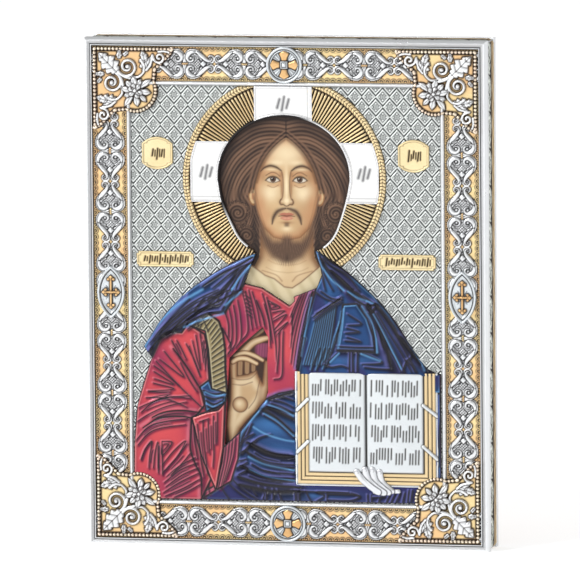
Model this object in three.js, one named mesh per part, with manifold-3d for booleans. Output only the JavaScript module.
import * as THREE from 'three';
import { mergeVertices } from 'three/addons/utils/BufferGeometryUtils.js';
import Module from 'manifold-3d';

const wasm = await Module();
wasm.setup();

// An icon panel: a wooden board, a painted picture on it, and a pressed silver cover over both.
// Millimetres. X runs to the right, Z up, and the front faces -Y. The origin is the middle of the underside.
// Front pieces are drawn in the (x, z) plane, and a height is measured forward from the plate plane.

const panelWidth = 200;
const panelHeight = 250;
const panelDepth = 28;
const reliefHeight = 4;
const plateThickness = 1;
const pictureThickness = 1;
const wallThickness = 1.2;
const clearance = 0.3;

const halfWidth = panelWidth / 2;
const halfDepth = panelDepth / 2;
const plateY = reliefHeight - halfDepth;
const sunk = 0.2;

// The border, in distances from the outer edge
const borderWidth = 23;
const mouldingWidth = 4;
const filletStart = 20.8;
const bandMiddle = 12.4;
const heartPitch = 29.8;
const firstHeart = 9.8;

// The lattice of the field
const rhombWidth = 6.93;
const rhombHeight = 9.86;
const rhombMiddle = [-55.3, 222.4];
const rhombPeak = 0.7;
const rhombGroove = 0.1;

// The halo and the openings for the painted head and hand
const haloMiddle = [-0.5, 181.5];
const haloRadius = 50.8;
const ropeWidth = 3.6;
const rayCount = 42;
const headMiddle = [-0.5, 183];
const headRadii = [33, 30];

// The applied ornaments
const cornerReach = 45;
const flowerMiddle = 25.5;
const lobeRadius = 11.4;
const discRadius = 9.1;
const ovalHalfWidth = 7.1;
const ovalHalfHeight = 10.8;

// The robe's plate and the open book
const robeThickness = 1;
const bookLeft = 4.2;
const bookRight = 75.3;
const bookBottom = 31.3;
const bookTop = 87.6;
const bookSpine = 39.5;
const pageInset = 7;
const pageFoot = 7.3;
const palmLeft = 41;
const palmRight = 58;
const palmBottom = 27;

// Solids

function solid(geometry) {
  geometry.deleteAttribute('normal');
  geometry.deleteAttribute('uv');
  const merged = mergeVertices(geometry, 1e-4);
  const positions = Float32Array.from(merged.attributes.position.array);
  const corners = Uint32Array.from(merged.index.array);
  const [a, b, c] = [new THREE.Vector3(), new THREE.Vector3(), new THREE.Vector3()];
  let volume = 0;
  for (let i = 0; i < corners.length; i += 3) {
    a.fromArray(positions, corners[i] * 3);
    b.fromArray(positions, corners[i + 1] * 3);
    c.fromArray(positions, corners[i + 2] * 3);
    volume += a.dot(b.cross(c));
  }
  if (volume < 0) {
    for (let i = 0; i < corners.length; i += 3) {
      [corners[i], corners[i + 1]] = [corners[i + 1], corners[i]];
    }
  }
  return new wasm.Manifold(new wasm.Mesh({ numProp: 3, vertProperties: positions, triVerts: corners }));
}

function closedMesh(points, faces) {
  const geometry = new THREE.BufferGeometry();
  geometry.setAttribute('position', new THREE.Float32BufferAttribute(points.flat(), 3));
  geometry.setIndex(faces.flat());
  return solid(geometry);
}

function join(solids) {
  return solids.reduce((whole, next) => whole.add(next));
}

function cut(whole, tools) {
  return tools.reduce((rest, tool) => rest.subtract(tool), whole);
}

// A flat outline raised from one height to another
function prism(outline, low, high) {
  const shape = new THREE.Shape(outline.map(([x, z]) => new THREE.Vector2(x, z)));
  const geometry = new THREE.ExtrudeGeometry(shape, { depth: high - low, bevelEnabled: false });
  geometry.rotateX(Math.PI / 2);
  geometry.translate(0, plateY - low, 0);
  return solid(geometry);
}

// An outline drawn up to one point
function pyramid(outline, low, tip, high) {
  const points = outline.map(([x, z]) => [x, plateY - low, z]);
  const count = outline.length;
  points.push([tip[0], plateY - high, tip[1]], [tip[0], plateY - low, tip[1]]);
  const faces = [];
  for (let i = 0; i < count; i += 1) {
    const next = (i + 1) % count;
    faces.push([i, next, count], [next, i, count + 1]);
  }
  return closedMesh(points, faces);
}

// A ridge of triangular section along a path; half widths and crest heights are given point by point
function ridge(path, halfWidths, low, highs) {
  const points = [];
  const last = path.length - 1;
  path.forEach(([x, z], i) => {
    const before = path[Math.max(i - 1, 0)];
    const after = path[Math.min(i + 1, last)];
    const length = Math.hypot(after[0] - before[0], after[1] - before[1]);
    const across = [(before[1] - after[1]) / length, (after[0] - before[0]) / length];
    const w = halfWidths[i];
    points.push([x + across[0] * w, plateY - low, z + across[1] * w]);
    points.push([x - across[0] * w, plateY - low, z - across[1] * w]);
    points.push([x, plateY - highs[i], z]);
  });
  const faces = [[0, 1, 2], [last * 3 + 1, last * 3, last * 3 + 2]];
  for (let i = 0; i < last; i += 1) {
    const k = i * 3;
    faces.push([k, k + 2, k + 5], [k, k + 5, k + 3]);
    faces.push([k + 2, k + 1, k + 4], [k + 2, k + 4, k + 5]);
    faces.push([k + 1, k, k + 3], [k + 1, k + 3, k + 4]);
  }
  return closedMesh(points, faces);
}

// A straight fold that rises from the robe's plate, widest and highest in the middle
function fold(from, to, halfWidth, high) {
  const middle = [(from[0] + to[0]) / 2, (from[1] + to[1]) / 2];
  const length = Math.hypot(to[0] - from[0], to[1] - from[1]);
  const across = [(from[1] - to[1]) * halfWidth / length, (to[0] - from[0]) * halfWidth / length];
  const outline = [from, [middle[0] + across[0], middle[1] + across[1]], to, [middle[0] - across[0], middle[1] - across[1]]];
  return pyramid(outline, robeThickness - sunk, middle, high);
}

// Outlines

function arc(middle, radii, from, to, steps) {
  const points = [];
  for (let i = 0; i <= steps; i += 1) {
    const angle = THREE.MathUtils.degToRad(from + (to - from) * i / steps);
    points.push([middle[0] + radii[0] * Math.cos(angle), middle[1] + radii[1] * Math.sin(angle)]);
  }
  return points;
}

function circle(middle, radius, sides) {
  return arc(middle, [radius, radius], 0, 360 - 360 / sides, sides - 1);
}

function rectangle(left, bottom, right, top) {
  return [[left, bottom], [right, bottom], [right, top], [left, top]];
}

function spiral(middle, from, to, outer, inner, steps) {
  const points = [];
  for (let i = 0; i <= steps; i += 1) {
    const angle = THREE.MathUtils.degToRad(from + (to - from) * i / steps);
    const radius = outer + (inner - outer) * i / steps;
    points.push([middle[0] + radius * Math.cos(angle), middle[1] + radius * Math.sin(angle)]);
  }
  return points;
}

function smooth(points, steps) {
  return new THREE.SplineCurve(points.map(([x, z]) => new THREE.Vector2(x, z)))
    .getPoints(steps).map((point) => [point.x, point.y]);
}

function area(outline) {
  return outline.reduce((sum, [x, z], i) => {
    const [nextX, nextZ] = outline[(i + 1) % outline.length];
    return sum + (x * nextZ - nextX * z) / 2;
  }, 0);
}

// The outline moved outward by a distance, or inward by a negative one
function grow(outline, distance) {
  const count = outline.length;
  const sign = area(outline) > 0 ? 1 : -1;
  return outline.map(([x, z], i) => {
    const before = outline[(i + count - 1) % count];
    const after = outline[(i + 1) % count];
    const a = new THREE.Vector2(z - before[1], before[0] - x).normalize();
    const b = new THREE.Vector2(after[1] - z, x - after[0]).normalize();
    const bisector = a.clone().add(b).normalize();
    const reach = sign * distance / Math.max(bisector.dot(a), 0.5);
    return [x + bisector.x * reach, z + bisector.y * reach];
  });
}

// Openings for the painted head with its neck, and for the painted hand

const neckLine = [[-20.9, 130.2], [-12, 128.2], [1.6, 119.6], [4.1, 122.1], [3.7, 124.1], [15.2, 128.6],
  [17.8, 135], [16.6, 141]];
const hairLeft = [[-31.5, 170], [-27.4, 160], [-22.7, 151.7], [-14.9, 145.4]];
const hairRight = [[14.8, 146.5], [20.1, 149.2], [25.5, 156.2], [30.5, 171.2]];
const headOpening = [...arc(headMiddle, headRadii, 0, 180, 14), ...hairLeft, ...neckLine, ...hairRight];
const handOpening = [[-31.3, 50.2], [-30.2, 70], [-28.7, 93.4], [-11.8, 109.1], [-9, 103.7], [-9.6, 93], [-9.3, 77],
  [-10.5, 73.4], [-23.8, 57.4]];

// The outlines of the robe's parts

const shoulderLeft = smooth([[-14.9, 145.2], [-28.3, 139.5], [-43.6, 130.2], [-60.1, 115.2], [-71.3, 98.5]], 6);
const shoulderRight = smooth([[74, 87.6], [66.6, 93.2], [51.8, 116], [32.5, 135.1], [14.8, 147.3]], 6);
const sleeveEdge = smooth([[-67.5, 93.2], [-74.8, 70], [-76.6, 50]], 4);
const robeSide = 76.6;
const robeHem = 23.4;
const robeOutline = [...shoulderLeft, ...sleeveEdge, [-robeSide, robeHem], [robeSide, robeHem], [robeSide, 87.6],
  ...shoulderRight, ...[...neckLine].reverse()];

const mantleLeft = [...shoulderLeft, [-67.5, 93.2], [-62.1, 104.6], [-52.3, 105.8], [-49, 110.7], [-39.1, 115.6],
  [-30.8, 115.6], [-25, 123.3], [-20.9, 130.2], [-15.5, 139.5]];
const mantleRight = [...shoulderRight, [16.9, 140.3], [18.1, 134.6], [15.2, 128.6], [11.5, 115.9], [8, 105],
  [9.5, 103.8], [5.6, 86.6], [4.6, 78.1], [74, 78.1]];
const mantleLap = [[4.6, 78.1], [-3.9, 76.4], [-10.5, 73.4], [-23.6, 56.9], [-28.2, 32.9], [-42.4, robeHem],
  [robeSide, robeHem], [robeSide, 78.1]];
const armBand = [[-49, 110.7], [-39.1, 115.6], [-33.7, 111.5], [-31.7, 105.8], [-30.7, 88], [-31.4, 76.8], [-37.3, 78.4],
  [-38.8, 97.8], [-40.3, 106.7]];
const cuffDrop = [[-47.4, 63.9], [-40.8, 66.4], [-32, 70.6], [-32, 48.9], [-35.7, 28.5]];
const sleeve = [[-67.5, 93.2], [-62.1, 104.6], [-52.3, 105.8], [-49, 109.9], [-41, 105], [-39.4, 97.8], [-38.6, 82.4],
  [-43.3, 78.9], [-41.3, 70], [-47.4, 62.5], [-36.5, 28], [-43.3, robeHem], [-robeSide, robeHem], ...[...sleeveEdge].reverse()];
const tunicFront = [[-20.3, 130.2], [-12, 128.2], [1.6, 119.6], [4.1, 122.1], [14.2, 128.2], [10.5, 115.9], [7.2, 105],
  [4.8, 86.6], [3.8, 79], [-8.2, 76], [-8.4, 103.7], [-12, 110.5], [-29.4, 94.5], [-30.6, 105.8], [-32.8, 112],
  [-30.2, 115], [-24.4, 122.8]];

// The corner ornament, drawn for one corner by its distances from the two outer edges

const lobe = arc([flowerMiddle, flowerMiddle], [lobeRadius, lobeRadius], -24, 114, 6);
const cornerArm = [[cornerReach, mouldingWidth + 0.4], [44.2, 7.8], [40.6, 11.6], [36.4, 15.8]];
const cornerOutline = [[mouldingWidth + 0.4, mouldingWidth + 0.4], ...cornerArm, ...lobe,
  ...cornerArm.map(([u, v]) => [v, u]).reverse()];

const cornerPlaces = [
  ([u, v]) => [u - halfWidth, panelHeight - v],
  ([u, v]) => [halfWidth - u, panelHeight - v],
  ([u, v]) => [u - halfWidth, v],
  ([u, v]) => [halfWidth - u, v],
];

function cornerOrnament(place) {
  const at = (points) => points.map(place);
  const rim = cut(prism(at(cornerOutline), 0, 2.3), [prism(at(grow(cornerOutline, -1.5)), 1.4, 3)]);
  const petals = [];
  for (let i = 0; i < 16; i += 1) {
    const angle = i * Math.PI / 8;
    const radius = i % 2 === 0 ? 8.6 : 5.2;
    petals.push([flowerMiddle + radius * Math.cos(angle), flowerMiddle + radius * Math.sin(angle)]);
  }
  const flower = pyramid(at(petals), 1.2, place([flowerMiddle, flowerMiddle]), reliefHeight);
  const bigVolute = spiral([20.6, 12.6], 20, -280, 4.2, 1.4, 4);
  const smallVolute = spiral([38, 8.6], 60, -150, 1.2, 2.2, 2);
  const stem = [...smallVolute, [31, 10.6], [26.4, 14.4], ...bigVolute];
  const widths = stem.map(() => 1.1);
  const crests = stem.map((_, i) => 2.2 + 0.9 * i / stem.length);
  const scrolls = [stem, stem.map(([u, v]) => [v, u])].map((path) => ridge(at(path), widths, 1.2, crests));
  const leafSide = [[6, 6], [10.6, 7.4], [12.2, 10.2], [15.6, 15.6]];
  const leafOutline = [...leafSide, ...leafSide.slice(1, 3).map(([u, v]) => [v, u]).reverse()];
  const leaf = pyramid(at(leafOutline), 1.2, place([11.2, 11.2]), 3.2);
  return join([rim, flower, ...scrolls, leaf]);
}

// Discs and pointed ovals in the border

function roundMedallion(middle) {
  const profile = [[0, 0], [discRadius, 0], [discRadius, 1.6], [discRadius - 0.8, 2.8], [discRadius - 1.8, 1.6], [0, 1.6]];
  const lathe = new THREE.LatheGeometry(profile.map(([r, h]) => new THREE.Vector2(r, h)), 18);
  lathe.rotateX(Math.PI);
  lathe.translate(middle[0], plateY, middle[1]);
  const arms = [0, 90, 180, 270].map((turn) => {
    const armShape = [[1.7, -1.2], [6.3, -2.7], [6.9, 0], [6.3, 2.7], [1.7, 1.2]];
    const cos = Math.cos(THREE.MathUtils.degToRad(turn));
    const sin = Math.sin(THREE.MathUtils.degToRad(turn));
    return prism(armShape.map(([r, w]) => [middle[0] + r * cos - w * sin, middle[1] + r * sin + w * cos]), 1.4, 2.3);
  });
  const hub = pyramid(circle(middle, 2, 4), 1.4, middle, 3);
  return join([solid(lathe), ...arms, hub]);
}

function ovalOutline(middle) {
  const half = (sign) => arc([0, 0], [ovalHalfWidth, ovalHalfHeight], -90, 90, 6)
    .map(([x, z]) => [sign * Math.abs(x) * Math.cos(z / ovalHalfHeight * 0.5), z]);
  const right = half(1);
  const left = half(-1).reverse().slice(1, -1);
  return [...right, ...left].map(([x, z]) => [middle[0] + x, middle[1] + z]);
}

function ovalMedallion(middle) {
  const outline = ovalOutline(middle);
  const body = cut(prism(outline, 0, 2.6), [prism(grow(outline, -1.1), 1.5, 3)]);
  const bud = (r, turn) => {
    const shape = [[0.6, -0.55], [r - 3.2, -0.55], [r - 1.8, -1.6], [r, 0], [r - 1.8, 1.6], [r - 3.2, 0.55], [0.6, 0.55]];
    const cos = Math.cos(THREE.MathUtils.degToRad(turn));
    const sin = Math.sin(THREE.MathUtils.degToRad(turn));
    return prism(shape.map(([x, z]) => [middle[0] + x * cos - z * sin, middle[1] + x * sin + z * cos]), 1.3, 2.4);
  };
  return join([body, bud(8.2, 90), bud(8.2, 270), bud(4.9, 0), bud(4.9, 180), prism(circle(middle, 0.9, 8), 1.3, 2.6)]);
}

// Title plaques with a raised edge

function notched(middle, width, height, notch, bulge) {
  const x = width / 2;
  const z = height / 2;
  const corner = [[x - bulge, z - notch - 0.6], [x - bulge - notch, z - notch], [x - bulge - notch, z]];
  const turned = (points, sx, sz) => points.map(([px, pz]) => [px * sx, pz * sz]);
  const side = bulge > 0 ? arc([0, 0], [x, z - notch - 0.6], -45, 45, 2) : [];
  return [...side, ...turned(corner, 1, 1), ...turned(corner, -1, 1).reverse(), ...turned(side, -1, -1),
    ...turned(corner, -1, -1), ...turned(corner, 1, -1).reverse()].map(([px, pz]) => [middle[0] + px, middle[1] + pz]);
}

function plaque(outline) {
  return cut(prism(outline, 0, 1.5), [prism(grow(outline, -0.9), 1, 2)]);
}

const plaques = {
  plaque_upper_left: notched([-63.8, 193.7], 15.5, 16, 1.6, 1),
  plaque_upper_right: notched([63.8, 193.7], 15.5, 16, 1.6, 1),
  plaque_lower_left: notched([-60.3, 141.7], 28.5, 7.6, 1.1, 0),
  plaque_lower_right: notched([60.3, 141.7], 28.5, 7.6, 1.1, 0),
};

const discPlaces = { round_medallion_top: [0, panelHeight - bandMiddle], round_medallion_bottom: [0, bandMiddle] };
const ovalPlaces = {
  oval_medallion_left: [bandMiddle - halfWidth, panelHeight / 2],
  oval_medallion_right: [halfWidth - bandMiddle, panelHeight / 2],
};

// Room for the applied ornaments in what they overlap

const cornerRooms = cornerPlaces.map((place) => prism(grow(cornerOutline, clearance).map(place), 0, 9));
const discRooms = Object.values(discPlaces).map((middle) => prism(circle(middle, discRadius + clearance, 24), 0, 9));
const ovalRooms = Object.values(ovalPlaces).map((middle) => prism(grow(ovalOutline(middle), clearance), 0, 9));
const bookRoom = prism(rectangle(bookLeft - clearance, bookBottom - clearance, bookRight + clearance,
  bookTop + clearance), robeThickness, 9);
const palmRoom = prism(rectangle(palmLeft, palmBottom, palmRight, bookBottom), robeThickness, 9);
const handRoom = prism(handOpening, -2, 9);
const headRoom = prism(headOpening, -2, 9);

// The border: one profile swept round the panel, with its walls behind

function sweepBorder(profile) {
  const points = [];
  profile.forEach(([inset, height]) => {
    const x = halfWidth - inset;
    const corners = [[-x, inset], [x, inset], [x, panelHeight - inset], [-x, panelHeight - inset]];
    corners.forEach(([px, pz]) => points.push([px, plateY - height, pz]));
  });
  const faces = [];
  for (let i = 0; i < profile.length; i += 1) {
    const next = (i + 1) % profile.length;
    for (let side = 0; side < 4; side += 1) {
      const turn = (side + 1) % 4;
      const [a, b, c, d] = [i * 4 + side, next * 4 + side, next * 4 + turn, i * 4 + turn];
      faces.push([a, b, c], [a, c, d]);
    }
  }
  return closedMesh(points, faces);
}

// One scroll of the border: a large volute by the heart's node, a stem, and a small curl at the tails
const heartScroll = [...spiral([3.7, 3.4], -20, -285, 1.2, 3.2, 3), [12.4, 1.6]];

function heart(place, node, direction) {
  const crests = heartScroll.map((_, i) => (i < 4 ? 1.7 : 1.5));
  const scrolls = [1, -1].map((side) => {
    const path = heartScroll.map(([s, b]) => place([node + direction * s, side * b]));
    return ridge(path, path.map(() => 0.85), -sunk, crests);
  });
  return join(scrolls);
}

const halfSides = [1, -1].flatMap((direction) => [
  { reach: halfWidth, place: ([s, b]) => [direction * s, panelHeight - bandMiddle - b] },
  { reach: halfWidth, place: ([s, b]) => [direction * s, bandMiddle + b] },
  { reach: panelHeight / 2, place: ([s, b]) => [bandMiddle - halfWidth + b, panelHeight / 2 + direction * s] },
  { reach: panelHeight / 2, place: ([s, b]) => [halfWidth - bandMiddle - b, panelHeight / 2 + direction * s] },
]);

function borderHearts() {
  const hearts = [];
  halfSides.forEach(({ reach, place }) => {
    hearts.push(heart(place, firstHeart, 1));
    for (let node = firstHeart + heartPitch; node < reach - cornerReach; node += heartPitch) {
      hearts.push(heart(place, node, -1), heart(place, node, 1));
    }
  });
  return join(hearts);
}

// Leaves along the right wall and the top wall, under the level of the plain mouldings
function wallLeaves() {
  const leaves = [];
  const leafPitch = 18;
  const leafHalf = 6.5;
  const leafAcross = 3.2;
  const leafY = 0.5;
  const low = 0.75;
  const high = 0.1;
  const add = (along, wall) => {
    const corners = [[-leafHalf, 0], [0, -leafAcross], [leafHalf, 0], [0, leafAcross]];
    const points = corners.map(([s, t]) => wall(along + s, leafY + t, low));
    points.push(wall(along, leafY, high), wall(along, leafY, low));
    const faces = corners.flatMap((_, i) => [[i, (i + 1) % 4, 4], [(i + 1) % 4, i, 5]]);
    leaves.push(closedMesh(points, faces));
  };
  for (let z = leafPitch / 2 + 8; z < panelHeight - 8; z += leafPitch) {
    add(z, (along, y, inset) => [halfWidth - inset, y, along]);
  }
  for (let x = -5 * leafPitch; x < halfWidth - leafHalf; x += leafPitch) {
    add(x, (along, y, inset) => [along, y, panelHeight - inset]);
  }
  return join(leaves);
}

function frameBorder() {
  const front = [[0, -1.2], [0.25, 1], [0.9, 2], [1.7, 2.2], [2.4, 1.9], [2.7, 1.1], [3.2, 1.7], [3.7, 1.6],
    [mouldingWidth, 0]];
  const fillet = [[filletStart, 0], [filletStart + 0.4, 1.5], [filletStart + 1.1, 1.9],
    [borderWidth - 0.4, 1.3], [borderWidth, 0]];
  const inside = [[borderWidth, -plateThickness], [wallThickness, -plateThickness],
    [wallThickness, plateY - halfDepth]];
  const back = plateY - halfDepth;
  const outside = [[0, back], [0, back + 1.6], [0.7, back + 1.9], [0.7, back + 3.4], [0, back + 3.7],
    [0, back + 5.2], [0.6, back + 5.5], [0.6, -5.6], [0, -5.3]];
  const swept = sweepBorder([...front, ...fillet, ...inside, ...outside]);
  return cut(join([swept, borderHearts(), wallLeaves()]), [...cornerRooms, ...discRooms, ...ovalRooms]);
}

// The lattice: low pyramids that meet in grooves, where a whole rhombus shows

function inside([x, z], outline) {
  let within = false;
  outline.forEach(([ax, az], i) => {
    const [bx, bz] = outline[(i + 1) % outline.length];
    if ((az > z) !== (bz > z) && x < ax + (bx - ax) * (z - az) / (bz - az)) {
      within = !within;
    }
  });
  return within;
}

// Without the rhombi that would touch the rest at one point only
function withoutPointContacts(pieces) {
  const key = (x, z) => `${Math.round(x * 10)},${Math.round(z * 10)}`;
  const kept = new Map(pieces.map(([x, z]) => [key(x, z), [x, z]]));
  const across = rhombWidth / 2;
  const up = rhombHeight / 2;
  pieces.forEach(([x, z]) => {
    const has = (dx, dz) => kept.has(key(x + dx * across, z + dz * up));
    const beside = [1, -1].some((side) => has(2 * side, 0) && !has(side, 1) && !has(side, -1));
    const above = [1, -1].some((side) => has(0, 2 * side) && !has(1, side) && !has(-1, side));
    if (beside || above) {
      kept.delete(key(x, z));
    }
  });
  return [...kept.values()];
}

function lattice(field, covers) {
  const columns = Math.ceil(halfWidth / rhombWidth) * 2;
  const rows = Math.ceil(panelHeight / rhombHeight);
  const originX = rhombMiddle[0] - rhombWidth * Math.floor(columns / 2 - 4);
  const originZ = rhombMiddle[1] - rhombHeight * (rows - 2);
  const pieces = [];
  for (let row = 0; row < rows * 2; row += 1) {
    for (let column = 0; column < columns; column += 1) {
      const x = originX + (column + (row % 2) / 2) * rhombWidth;
      const z = originZ + row * rhombHeight / 2;
      const reach = [[0, 0], [rhombWidth / 2, 0], [-rhombWidth / 2, 0], [0, rhombHeight / 2], [0, -rhombHeight / 2]];
      const probes = reach.map(([dx, dz]) => [x + dx, z + dz]);
      if (probes.every((point) => inside(point, field) && !covers.some((cover) => inside(point, cover)))) {
        pieces.push([x, z]);
      }
    }
  }
  const points = [];
  const faces = [];
  const known = new Map();
  const vertex = (x, z, height) => {
    const key = `${x.toFixed(2)},${z.toFixed(2)},${height}`;
    if (!known.has(key)) {
      known.set(key, points.length);
      points.push([x, plateY - height, z]);
    }
    return known.get(key);
  };
  const edges = new Map();
  withoutPointContacts(pieces).forEach(([x, z]) => {
    const outline = [[x + rhombWidth / 2, z], [x, z + rhombHeight / 2], [x - rhombWidth / 2, z], [x, z - rhombHeight / 2]];
    outline.forEach(([px, pz], i) => {
      const [qx, qz] = outline[(i + 1) % 4];
      const top = [vertex(px, pz, rhombGroove), vertex(qx, qz, rhombGroove), vertex(x, z, rhombPeak)];
      const bottom = [vertex(qx, qz, -sunk), vertex(px, pz, -sunk), vertex(x, z, -sunk)];
      faces.push(top, bottom);
      const key = [top[0], top[1]].sort((a, b) => a - b).join();
      edges.set(key, edges.has(key) ? null : [top[0], top[1], bottom[0], bottom[1]]);
    });
  });
  edges.forEach((edge) => {
    if (edge) {
      const [a, b, lowB, lowA] = edge;
      faces.push([b, a, lowA], [b, lowA, lowB]);
    }
  });
  return closedMesh(points, faces);
}

function fieldPlate() {
  const side = halfWidth - borderWidth - clearance / 2;
  const bottom = borderWidth + clearance / 2;
  const field = rectangle(-side, bottom, side, panelHeight - bottom);
  const covers = [circle(haloMiddle, haloRadius + clearance, 48), grow(robeOutline, clearance),
    ...Object.values(plaques).map((outline) => grow(outline, clearance)),
    ...cornerPlaces.map((place) => grow(cornerOutline, clearance).map(place))];
  const quilt = lattice(field, covers);
  return cut(prism(field, -plateThickness, 0).add(quilt), [headRoom, handRoom]);
}

// The halo: a fan of rays inside a rope rim, and three enamelled arms of a cross behind the head

function rayFan(inner, outer) {
  const points = [];
  const faces = [];
  for (let i = 0; i < rayCount * 2; i += 1) {
    const angle = i * Math.PI / rayCount;
    const high = i % 2 === 0 ? 1.4 : 0.6;
    [[inner, -high], [outer, -high], [inner, -0.2], [outer, -0.2]].forEach(([radius, y]) => {
      points.push([haloMiddle[0] + radius * Math.cos(angle), plateY + y, haloMiddle[1] + radius * Math.sin(angle)]);
    });
  }
  for (let i = 0; i < rayCount * 2; i += 1) {
    const a = i * 4;
    const b = ((i + 1) % (rayCount * 2)) * 4;
    faces.push([a, a + 1, b + 1], [a, b + 1, b], [a + 2, b + 3, a + 3], [a + 2, b + 2, b + 3]);
    faces.push([a, b, b + 2], [a, b + 2, a + 2], [a + 1, b + 3, b + 1], [a + 1, a + 3, b + 3]);
  }
  return closedMesh(points, faces);
}

function halo() {
  const rope = haloRadius - ropeWidth;
  const profile = [[0, 0], [haloRadius, 0], [haloRadius, 0.8], [haloRadius - ropeWidth / 2, 2], [rope, 0.4], [0, 0.4]];
  const disc = new THREE.LatheGeometry(profile.map(([r, h]) => new THREE.Vector2(r, h)), 42);
  disc.rotateX(Math.PI);
  disc.translate(haloMiddle[0], plateY, haloMiddle[1]);
  const armTops = [rectangle(-15.2, 205, 13.6, 240), rectangle(-47.6, 170.1, -25, 199.9), rectangle(25, 170.1, 47.4, 199.9)];
  const arms = armTops.map((outline) => prism(outline, 0.2, 1.7));
  const whole = join([solid(disc), rayFan(24, rope - 0.2), ...arms]);
  const ceiling = prism(rectangle(-halfWidth, panelHeight - borderWidth - clearance, halfWidth, panelHeight), -1, 9);
  return cut(whole, [headRoom, ceiling, prism(grow(robeOutline, clearance), -1, 9)]);
}

// The robe: raised parts on one plate, and folds on each part

function fan(starts, ends, count, halfFold, high) {
  const at = ([from, to], t) => [from[0] + (to[0] - from[0]) * t, from[1] + (to[1] - from[1]) * t];
  const folds = [];
  for (let i = 0; i < count; i += 1) {
    const t = count === 1 ? 0.5 : i / (count - 1);
    folds.push(fold(at(starts, t), at(ends, t), halfFold, high));
  }
  return folds;
}

function robeFolds() {
  return [
    ...fan([[-18, 140], [-21, 131]], [[-66, 99], [-33, 117]], 6, 2.0, 3),
    ...fan([[20, 141], [19, 137]], [[66, 90], [48, 92]], 4, 2.0, 3),
    ...fan([[14, 127], [10, 108]], [[31, 112], [29, 92]], 6, 1.2, 2.6),
    ...fan([[-13, 126], [-30, 113]], [[2, 108], [-13, 112]], 6, 1.2, 2.1),
    ...fan([[4, 118], [-5, 105]], [[4, 96], [-4, 80]], 4, 1.2, 2.1),
    ...fan([[-62, 102], [-50, 104]], [[-73, 72], [-43, 72]], 6, 1.5, 2.5),
    ...fan([[-44, 66], [-44, 58]], [[-73, 66], [-74, 40]], 6, 1.5, 2.5),
    ...fan([[-46, 50], [-42, 32]], [[-72, 30], [-52, 26]], 4, 1.5, 2.5),
    ...fan([[-46, 104], [-38, 110]], [[-38, 81], [-34, 80]], 3, 1.2, 2.6),
    ...fan([[-44, 63], [-35, 67]], [[-36, 34], [-33, 46]], 3, 1.4, 2.7),
    ...fan([[-7, 72], [2, 75]], [[-25, 38], [2, 34]], 6, 1.7, 2.6),
    ...fan([[-24, 30], [66, 30]], [[-36, 25], [52, 25]], 9, 1.2, 2.3),
  ];
}

function robe() {
  const parts = [
    prism(robeOutline, 0, robeThickness),
    prism(mantleLeft, 0.5, 1.8),
    prism(mantleRight, 0.5, 1.8),
    prism(mantleLap, 0.5, 1.6),
    prism(armBand, 0.5, 1.9),
    prism(cuffDrop, 0.5, 1.9),
    prism(sleeve, 0.5, 1.5),
    prism(tunicFront, 0.5, 1.3),
    ...robeFolds(),
  ];
  return cut(join(parts), [headRoom, handRoom, bookRoom, palmRoom, ...cornerRooms]);
}

// The open book: crowned pages, mitred page edges with grooves, straps, and the hand that holds it from below

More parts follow.
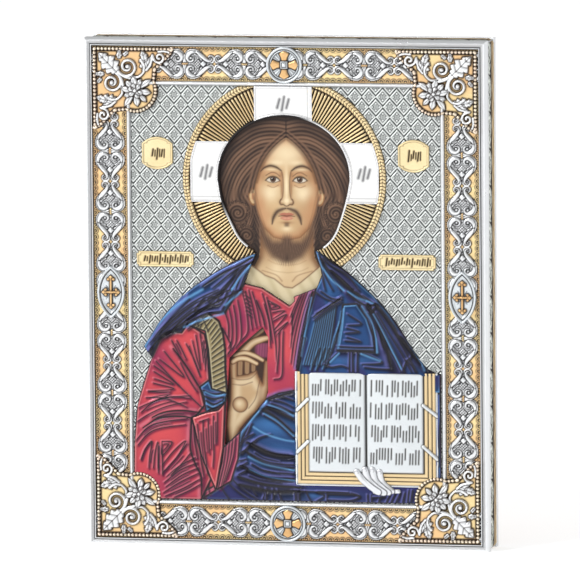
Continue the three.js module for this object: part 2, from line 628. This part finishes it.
function bookWithHand() {
  const base = robeThickness;
  const cover = prism(rectangle(bookLeft, bookBottom, bookRight, bookTop), base, base + 0.8);
  const edgeHigh = 2.2;
  const bottom = bookBottom + pageFoot;
  const top = bookTop - 0.3;
  const pageEdges = [[bookLeft + pageInset, bookSpine - 0.4], [bookSpine + 0.4, bookRight - pageInset]];
  const blocks = pageEdges.map(([left, right], side) => {
    const crown = side === 0 ? [0.4, 0.8] : [0.2, 0.6];
    const section = [[left, base + 0.2], [left, 2.6], [left + (right - left) * crown[0], 3.2],
      [left + (right - left) * crown[1], 3.2], [right, 2.6], [right, base + 0.2]];
    const points = [bottom, top].flatMap((z) => section.map(([x, h]) => [x, plateY - h, z]));
    const count = section.length;
    const faces = [];
    for (let i = 0; i < count; i += 1) {
      const next = (i + 1) % count;
      faces.push([i, next, count + next], [i, count + next, count + i]);
    }
    for (let i = 1; i < count - 1; i += 1) {
      faces.push([0, i + 1, i], [count, count + i, count + i + 1]);
    }
    return closedMesh(points, faces);
  });
  const ribs = [1.6, 4.8].flatMap((step) => {
    const left = bookLeft + step;
    const right = bookRight - step;
    const foot = bookBottom + step;
    const high = edgeHigh + step * 0.08;
    return [
      ridge([[left, bookTop - 0.2], [left, foot], [bookSpine, foot - 0.2], [right, foot], [right, bookTop - 0.2]],
        [1.4, 1.4, 1.4, 1.4, 1.4], base + 0.5, [high, high, high, high, high]),
    ];
  });
  const strapEnds = [[5.1, 68.6, 10.6, 74], [5.1, 47.9, 10.6, 53.3], [75, 66.7, 68, 71.9], [75, 45.5, 68, 51.6]];
  const straps = strapEnds.map(([x1, z1, x2, z2]) => ridge([[x1, z1], [x2, z2]], [0.9, 0.9], base + 0.5, [3.1, 3.1]));
  const fingers = [0, 1, 2, 3].map((i) => {
    const tip = [34.6 + i * 4.4, 40.2 - i * 1.6];
    const knuckle = [41 + i * 4, 33.6 - i * 0.9];
    const root = [46 + i * 3, 29 - i * 0.1];
    return ridge([tip, knuckle, root], [1, 1.7, 1.3], base + 0.5, [3, 3.7, 2.8]);
  });
  return cut(join([cover, ...blocks, ...ribs, ...straps, ...fingers]), [...cornerRooms]);
}

// The board and the painted picture

function slab(front, back) {
  const inset = wallThickness + clearance;
  const geometry = new THREE.BoxGeometry(panelWidth - 2 * inset, back - front, panelHeight - 2 * inset);
  geometry.translate(0, (front + back) / 2, panelHeight / 2);
  return solid(geometry);
}

// Materials and the group

const silver = { color: 0xd9dcdf, roughness: 0.3, metalness: 1 };
const gilt = { color: 0xe8c98a, roughness: 0.3, metalness: 1 };
const enamelRed = { color: 0xc2525e, roughness: 0.3, metalness: 0.6 };
const wood = { color: 0x8a5a34, roughness: 0.6, metalness: 0 };
const paint = { color: 0xb58f62, roughness: 0.55, metalness: 0 };

const group = new THREE.Group();

function addPiece(name, piece, finish) {
  const { vertProperties, triVerts } = piece.getMesh();
  const geometry = new THREE.BufferGeometry();
  geometry.setAttribute('position', new THREE.BufferAttribute(vertProperties, 3));
  geometry.setIndex(new THREE.BufferAttribute(triVerts, 1));
  const mesh = new THREE.Mesh(geometry, new THREE.MeshStandardMaterial({ ...finish, flatShading: true }));
  mesh.name = name;
  group.add(mesh);
}

addPiece('backing_board', slab(plateY + plateThickness + pictureThickness, halfDepth), wood);
addPiece('painted_panel', slab(plateY + plateThickness, plateY + plateThickness + pictureThickness), paint);
addPiece('frame_border', frameBorder(), silver);
addPiece('field_plate', fieldPlate(), silver);
addPiece('halo', halo(), gilt);
addPiece('robe', robe(), enamelRed);
addPiece('book_with_hand', bookWithHand(), silver);
cornerPlaces.forEach((place, i) => addPiece(`corner_ornament_${i + 1}`, cornerOrnament(place), gilt));
Object.entries(discPlaces).forEach(([name, middle]) => addPiece(name, roundMedallion(middle), silver));
Object.entries(ovalPlaces).forEach(([name, middle]) => addPiece(name, ovalMedallion(middle), silver));
Object.entries(plaques).forEach(([name, outline]) => addPiece(name, plaque(outline), gilt));

export default group;
